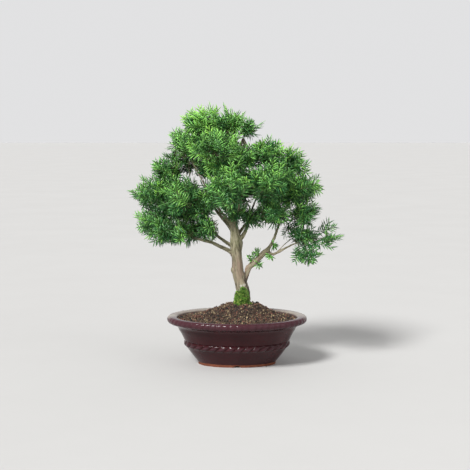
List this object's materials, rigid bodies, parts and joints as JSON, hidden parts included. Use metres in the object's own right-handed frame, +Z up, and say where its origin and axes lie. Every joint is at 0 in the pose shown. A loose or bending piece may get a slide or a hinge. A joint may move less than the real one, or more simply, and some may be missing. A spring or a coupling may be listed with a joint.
{
  "type": "bonsai tree in a pot",
  "caption": "Yew bonsai with a forked trunk and layered pads of flat needles, in an oval dark glazed pot with a wide rim and a rope band, in a mound of granular soil.",
  "frame": {"origin": "middle of the pot's foot, on the surface that the pot stands on", "axes": "+Z up, +X to the right along the pot's long side with the tree seen from its front, +Y away from the viewer"},
  "size_m": [0.4179, 0.2444, 0.5134],
  "materials": {
    "glaze": "gloss",
    "screen_plastic": "satin",
    "clip_wire": "satin",
    "gravel": "matte",
    "soil": "matte",
    "bark": "matte",
    "moss": "matte",
    "needles": "satin"
  },
  "bodies": {
    "root": {"drain_screen_left": "screen_plastic", "drain_screen_right": "screen_plastic", "drainage_gravel": "gravel", "limb_back": "bark", "limb_back_right": "bark", "limb_crown_right": "bark", "limb_front": "bark", "limb_left_crown": "bark", "limb_left_low": "bark", "limb_left_mid": "bark", "limb_left_upper": "bark", "limb_low_right": "bark", "limb_low_right_out": "bark", "limb_low_right_twig": "bark", "limb_low_right_up": "bark", "limb_right_upper": "bark", "moss": "moss", "pad_centre_back": "needles", "pad_centre_front": "needles", "pad_centre_low": "needles", "pad_centre_upper": "needles", "pad_left_inner": "needles", "pad_right_low_inner": "needles", "pad_crown_apex": "needles", "pad_crown_back": "needles", "pad_crown_core": "needles", "pad_crown_front": "needles", "pad_crown_left": "needles", "pad_crown_tip": "needles", "pad_crown_top": "needles", "pad_left_back": "needles", "pad_left_low": "needles", "pad_left_low_inner": "needles", "pad_left_mid": "needles", "pad_left_outer": "needles", "pad_left_outer_low": "needles", "pad_left_shoulder": "needles", "pad_low_right": "needles", "pad_low_right_drop": "needles", "pad_low_right_tip": "needles", "pad_right_back": "needles", "pad_right_low": "needles", "pad_right_mid": "needles", "pad_right_outer": "needles", "pad_right_outer_low": "needles", "pad_right_shoulder": "needles", "pad_right_top": "needles", "pot": "glaze", "screen_clip_left": "clip_wire", "screen_clip_right": "clip_wire", "soil": "soil", "trunk": "bark", "tuft_limb_fork": "needles", "tuft_limb_left": "needles", "tuft_limb_middle": "needles", "tuft_limb_top": "needles", "tuft_limb_under": "needles"}
  },
  "joints": []
}
